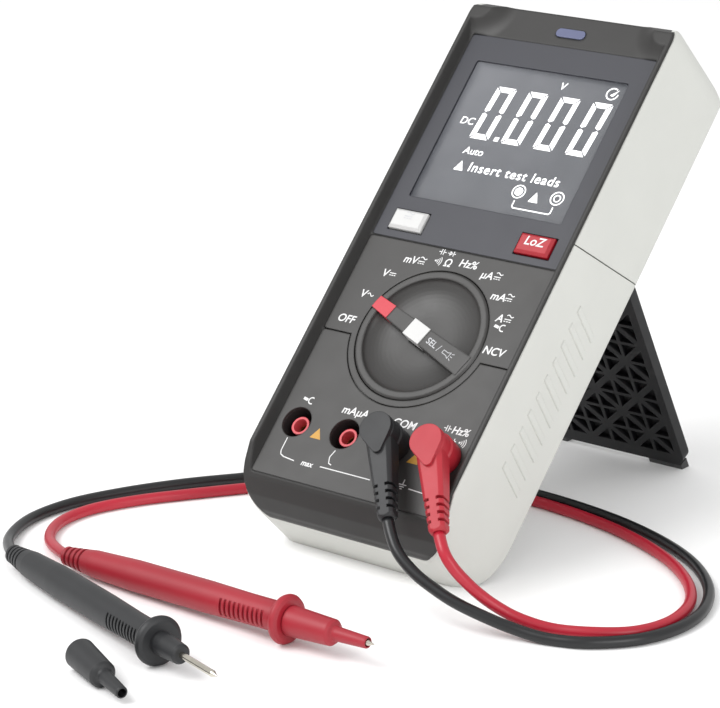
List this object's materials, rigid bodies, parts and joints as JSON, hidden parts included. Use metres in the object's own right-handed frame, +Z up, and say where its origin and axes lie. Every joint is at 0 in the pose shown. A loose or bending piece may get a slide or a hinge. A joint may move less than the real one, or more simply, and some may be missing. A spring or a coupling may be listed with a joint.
{
  "type": "handheld digital multimeter",
  "caption": "Handheld digital multimeter leaning on a fold-out stand, rotary selector, large display, two plugged-in test leads with probes, one tip cap on and one loose beside it.",
  "frame": {"origin": "middle of the narrow facet along the bottom edge that the meter stands on, on the bench plane", "axes": "+Z up from the bench, +X to the right along the meter's width as its face is seen, +Y away from the face, towards the stand"},
  "size_m": [0.2169, 0.2658, 0.1554],
  "materials": {
    "dark_case": "fine texture",
    "face_inlay": "fine texture",
    "overlay_film": "satin film",
    "window": "clear",
    "light_shell": "soft matte",
    "blue_lens": "translucent",
    "screw_steel": "zinc plated",
    "lcd_glass": "polarised",
    "diffuser": "milky",
    "frame_plastic": "moulded",
    "strip_rubber": "striped",
    "board": "solder mask",
    "mat_rubber": "soft",
    "knob_plastic": "fine texture",
    "pointer_red": "satin",
    "rotor_plastic": "moulded",
    "contact_brass": "plated",
    "key_white": "satin",
    "key_red": "satin",
    "jack_dark": "moulded",
    "jack_red": "moulded",
    "fuse_ceramic": "glazed ends",
    "cell_case": "printed sleeve",
    "cell_contact": "nickel plated",
    "black_moulding": "moulded",
    "sensor_copper": "bare",
    "stand_plastic": "moulded",
    "foot_rubber": "soft",
    "pin_steel": "drawn",
    "plug_black": "soft matte",
    "plug_red": "soft matte",
    "tip_nickel": "nickel plated",
    "lead_black": "silicone",
    "lead_red": "silicone",
    "probe_black": "soft matte",
    "probe_red": "soft matte"
  },
  "bodies": {
    "meter": {"front_case": "dark_case", "dial_panel": "face_inlay", "jack_panel": "face_inlay", "dial_ring": "dark_case", "display_overlay": "overlay_film", "display_lens": "window", "indicator_lens": "blue_lens", "rear_shell_upper": "light_shell", "rear_shell_lower": "light_shell", "case_screws": "screw_steel", "lcd_glass": "lcd_glass", "lcd_backlight": "diffuser", "lcd_frame": "frame_plastic", "contact_strips": "strip_rubber", "main_pcb": "board", "keypad_mat": "mat_rubber", "jack_wells": "jack_dark", "jack_sleeves": "jack_red", "jack_contacts": "contact_brass", "fuses": "fuse_ceramic", "fuse_clips": "contact_brass", "batteries": "cell_case", "battery_contacts": "cell_contact", "buzzer": "black_moulding", "sensor_plate": "sensor_copper", "stand_pin": "pin_steel", "black_lead": "lead_black", "red_lead": "lead_red", "black_probe": "probe_black", "black_probe_guard": "probe_black", "black_probe_nose": "probe_black", "black_probe_needle": "tip_nickel", "red_probe": "probe_red", "red_probe_guard": "probe_red", "red_probe_nose": "probe_red", "red_probe_needle": "tip_nickel"},
    "selector": {"knob": "knob_plastic", "knob_pointer": "pointer_red", "knob_rotor": "rotor_plastic", "knob_wipers": "contact_brass"},
    "sel_button": {"sel_key": "key_white"},
    "white_button": {"white_key": "key_white"},
    "loz_button": {"loz_key": "key_red"},
    "tilt_stand": {"stand": "stand_plastic", "stand_feet": "foot_rubber"},
    "black_plug_body": {"black_plug": "plug_black", "black_plug_shroud": "plug_black", "black_plug_pin": "tip_nickel"},
    "red_plug_body": {"red_plug": "plug_red", "red_plug_shroud": "plug_red", "red_plug_pin": "tip_nickel"},
    "red_cap": {"red_tip_cap": "probe_red"},
    "black_cap": {"black_tip_cap": "probe_black"}
  },
  "joints": [
    {"name": "selector_turn", "type": "hinge", "parent": "meter", "child": "selector", "pos_m": [0, 0.02374, 0.06799], "axis": [0, -0.7193, 0.6947], "range_deg": [-160, 20]},
    {"name": "sel_press", "type": "slide", "parent": "selector", "child": "sel_button", "axis": [0, 0.7193, -0.6947], "range_m": [0, 0.001], "stiffness_N_per_m": 250},
    {"name": "white_press", "type": "slide", "parent": "meter", "child": "white_button", "axis": [0, 0.7193, -0.6947], "range_m": [0, 0.001], "stiffness_N_per_m": 250},
    {"name": "loz_press", "type": "slide", "parent": "meter", "child": "loz_button", "axis": [0, 0.7193, -0.6947], "range_m": [0, 0.001], "stiffness_N_per_m": 250},
    {"name": "stand_fold", "type": "hinge", "parent": "meter", "child": "tilt_stand", "pos_m": [0, 0.0882, 0.0822], "axis": [1, 0, 0], "range_deg": [-73.02, 0], "deforming": ["black_lead", "red_lead"]},
    {"name": "black_plug_pull", "type": "slide", "parent": "meter", "child": "black_plug_body", "axis": [0, -0.7193, 0.6947], "range_m": [0, 0.026], "deforming": ["black_lead"]},
    {"name": "red_plug_pull", "type": "slide", "parent": "meter", "child": "red_plug_body", "axis": [0, -0.7193, 0.6947], "range_m": [0, 0.026], "deforming": ["red_lead"]},
    {"name": "red_cap_pull", "type": "slide", "parent": "meter", "child": "red_cap", "axis": [0.999, -0.0314, 0.0311], "range_m": [0, 0.032]},
    {"name": "black_cap_lift", "type": "slide", "parent": "meter", "child": "black_cap", "axis": [0, 0, 1], "range_m": [0, 0.05]}
  ]
}
